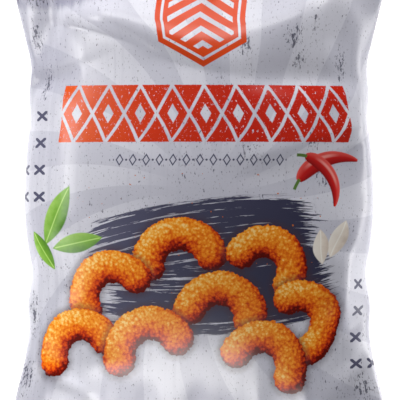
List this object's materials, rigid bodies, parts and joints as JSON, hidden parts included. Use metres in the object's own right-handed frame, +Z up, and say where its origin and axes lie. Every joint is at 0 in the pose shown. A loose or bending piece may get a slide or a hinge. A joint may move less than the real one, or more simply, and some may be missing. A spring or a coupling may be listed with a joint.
{
  "type": "filled snack pouch",
  "caption": "Shut pillow pouch of fried ring snacks, full and lying on its back, with ribbed saw-cut end seals and a folded fin seam.",
  "frame": {"origin": "under the middle of the pouch, on the surface it rests on", "axes": "+Y towards the top seal, +Z up out of the printed front, +X to the right of the print"},
  "size_m": [0.2, 0.276, 0.0574],
  "materials": {
    "printed_film": "satin printed film, pale grey ground with orange-red and slate print"
  },
  "bodies": {
    "root": {"snack_pouch": "printed_film"}
  },
  "joints": []
}
